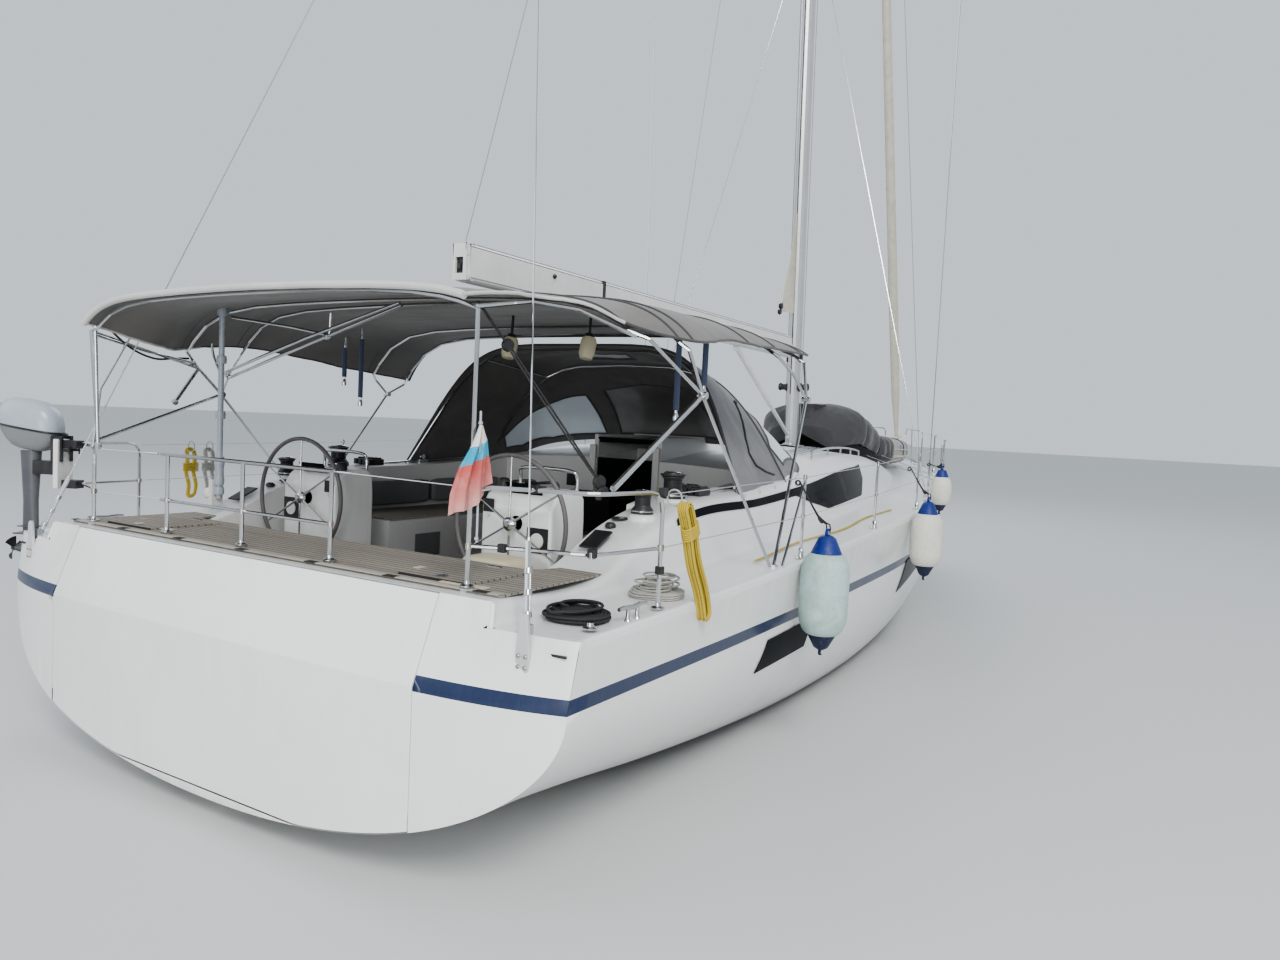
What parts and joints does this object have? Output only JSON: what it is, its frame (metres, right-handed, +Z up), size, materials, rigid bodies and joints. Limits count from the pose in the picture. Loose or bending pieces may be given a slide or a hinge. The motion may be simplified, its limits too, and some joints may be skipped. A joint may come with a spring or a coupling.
{
  "type": "sailing yacht",
  "caption": "Cruising sailing yacht afloat: wide stern with drop-down platform, twin wheels, canopy and sprayhood, boom, raked mast, rolled genoa, fin keel.",
  "frame": {"origin": "on the waterline, on the centreline, below the aft edge of the deck at the transom", "axes": "+X to the bow, +Y to port, +Z up"},
  "size_m": [15.062, 5.6494, 25.17],
  "materials": {
    "gelcoat": "glossy, weathered",
    "teak": "grey, unvarnished",
    "acrylic": "smoked, glossy",
    "steel": "polished, stained in places",
    "aluminium": "anodised satin",
    "black_plastic": "satin",
    "sailcloth": "woven, grubby",
    "iron": "antifouling paint",
    "bronze": "dull",
    "canvas": "woven acrylic canvas",
    "dark_canvas": "woven acrylic canvas",
    "fender_vinyl": "scuffed",
    "tender_fabric": "coated fabric",
    "flag_cloth": "faded",
    "black_rope": "braided",
    "white_rope": "braided, greyed",
    "yellow_rope": "braided"
  },
  "bodies": {
    "boat": {"hull": "gelcoat", "deck": "gelcoat", "helm_console_port": "gelcoat", "helm_console_starboard": "gelcoat", "aft_deck_teak": "teak", "cockpit_sole_teak": "teak", "bench_teak_port": "teak", "bench_teak_starboard": "teak", "cockpit_table": "teak", "shrouds_port": "steel", "shrouds_starboard": "steel", "backstay": "steel", "bow_roller": "steel", "anchor": "steel", "pushpit_port": "steel", "pushpit_starboard": "steel", "aft_rail": "steel", "stanchions_port": "steel", "stanchions_starboard": "steel", "pulpit": "steel", "bimini_frame": "steel", "sprayhood_frame": "steel", "cleat_aft_port": "steel", "cleat_aft_starboard": "steel", "cleat_bow_port": "steel", "cleat_bow_starboard": "steel", "mast": "aluminium", "saildrive": "aluminium", "outboard": "black_plastic", "keel": "iron", "bimini_canopy": "canvas", "sprayhood": "dark_canvas", "tender_cover": "dark_canvas", "fender_aft": "fender_vinyl", "fender_middle": "fender_vinyl", "fender_fore": "fender_vinyl", "tender": "tender_fabric", "ensign": "flag_cloth", "rope_coil_black": "black_rope", "rope_coil_white": "white_rope", "rope_hank_yellow": "yellow_rope"},
    "rudder_body": {"rudder": "gelcoat"},
    "propeller_body": {"propeller": "bronze"},
    "boom_body": {"boom": "aluminium"},
    "transom_platform_body": {"transom_platform": "gelcoat"},
    "companionway_slide_body": {"companionway_slide": "acrylic"},
    "saloon_hatch_body": {"saloon_hatch": "acrylic"},
    "anchor_locker_lid_body": {"anchor_locker_lid": "gelcoat"},
    "locker_lid_port_body": {"locker_lid_port": "gelcoat"},
    "locker_lid_starboard_body": {"locker_lid_starboard": "gelcoat"},
    "table_leaf_port_body": {"table_leaf_port": "teak"},
    "table_leaf_starboard_body": {"table_leaf_starboard": "teak"},
    "wheel_port_body": {"wheel_port": "steel"},
    "wheel_starboard_body": {"wheel_starboard": "steel"},
    "winch_primary_port_body": {"winch_primary_port": "black_plastic"},
    "winch_primary_starboard_body": {"winch_primary_starboard": "black_plastic"},
    "winch_secondary_port_body": {"winch_secondary_port": "black_plastic"},
    "winch_secondary_starboard_body": {"winch_secondary_starboard": "black_plastic"},
    "genoa_furled_body": {"genoa_furled": "sailcloth"}
  },
  "joints": [
    {"name": "rudder_turn", "type": "hinge", "parent": "boat", "child": "rudder_body", "pos_m": [0.69, 0, 0], "axis": [0, 0, 1], "range_deg": [-35, 35]},
    {"name": "wheel_port_turn", "type": "hinge", "parent": "boat", "child": "wheel_port_body", "pos_m": [1.3, 1.02, 1.7], "axis": [1, 0, 0], "range_deg": [-281, 281]},
    {"name": "wheel_starboard_turn", "type": "hinge", "parent": "boat", "child": "wheel_starboard_body", "pos_m": [1.3, -1.02, 1.7], "axis": [1, 0, 0], "range_deg": [-281, 281]},
    {"name": "propeller_spin", "type": "hinge", "parent": "boat", "child": "propeller_body", "pos_m": [4.94, 0, -0.96], "axis": [1, 0, 0], "continuous": true},
    {"name": "boom_swing", "type": "hinge", "parent": "boat", "child": "boom_body", "pos_m": [8.61, 0, 3.53], "axis": [-0.0544, 0, 0.9985], "range_deg": [-72, 72]},
    {"name": "platform_drop", "type": "hinge", "parent": "boat", "child": "transom_platform_body", "pos_m": [-0.19, 0, 0.178], "axis": [0, -1, 0], "range_deg": [0, 90]},
    {"name": "slide_open", "type": "slide", "parent": "boat", "child": "companionway_slide_body", "axis": [1, 0, 0], "range_m": [0, 0.7]},
    {"name": "saloon_hatch_open", "type": "hinge", "parent": "boat", "child": "saloon_hatch_body", "pos_m": [6.868, 0, 2.238], "axis": [0, 1, 0], "range_deg": [0, 80]},
    {"name": "anchor_lid_open", "type": "hinge", "parent": "boat", "child": "anchor_locker_lid_body", "pos_m": [13.232, 0, 1.952], "axis": [0, -1, 0], "range_deg": [0, 80]},
    {"name": "locker_port_open", "type": "hinge", "parent": "boat", "child": "locker_lid_port_body", "pos_m": [0.714, 1.4, 1.534], "axis": [0, 1, 0], "range_deg": [0, 85]},
    {"name": "locker_starboard_open", "type": "hinge", "parent": "boat", "child": "locker_lid_starboard_body", "pos_m": [0.714, -1.4, 1.534], "axis": [0, 1, 0], "range_deg": [0, 85]},
    {"name": "leaf_port_lift", "type": "hinge", "parent": "boat", "child": "table_leaf_port_body", "pos_m": [3.16, 0.208, 1.728], "axis": [1, 0, 0], "range_deg": [0, 90]},
    {"name": "leaf_starboard_lift", "type": "hinge", "parent": "boat", "child": "table_leaf_starboard_body", "pos_m": [3.16, -0.208, 1.728], "axis": [-1, 0, 0], "range_deg": [0, 90]},
    {"name": "winch_primary_port_turn", "type": "hinge", "parent": "boat", "child": "winch_primary_port_body", "pos_m": [2.25, 1.7, 1.88], "axis": [0, 0, 1], "continuous": true},
    {"name": "winch_primary_starboard_turn", "type": "hinge", "parent": "boat", "child": "winch_primary_starboard_body", "pos_m": [2.25, -1.7, 1.88], "axis": [0, 0, 1], "continuous": true},
    {"name": "winch_secondary_port_turn", "type": "hinge", "parent": "boat", "child": "winch_secondary_port_body", "pos_m": [1.75, 1.755, 1.8], "axis": [0, 0, 1], "continuous": true},
    {"name": "winch_secondary_starboard_turn", "type": "hinge", "parent": "boat", "child": "winch_secondary_starboard_body", "pos_m": [1.75, -1.755, 1.8], "axis": [0, 0, 1], "continuous": true},
    {"name": "genoa_furl", "type": "hinge", "parent": "boat", "child": "genoa_furled_body", "pos_m": [14.38, 0, 2.3], "axis": [-0.32, 0, 0.9474], "continuous": true}
  ],
  "couplings": [
    {"joint": "wheel_port_turn", "follows": "rudder_turn", "ratio": 8},
    {"joint": "wheel_starboard_turn", "follows": "rudder_turn", "ratio": 8}
  ]
}
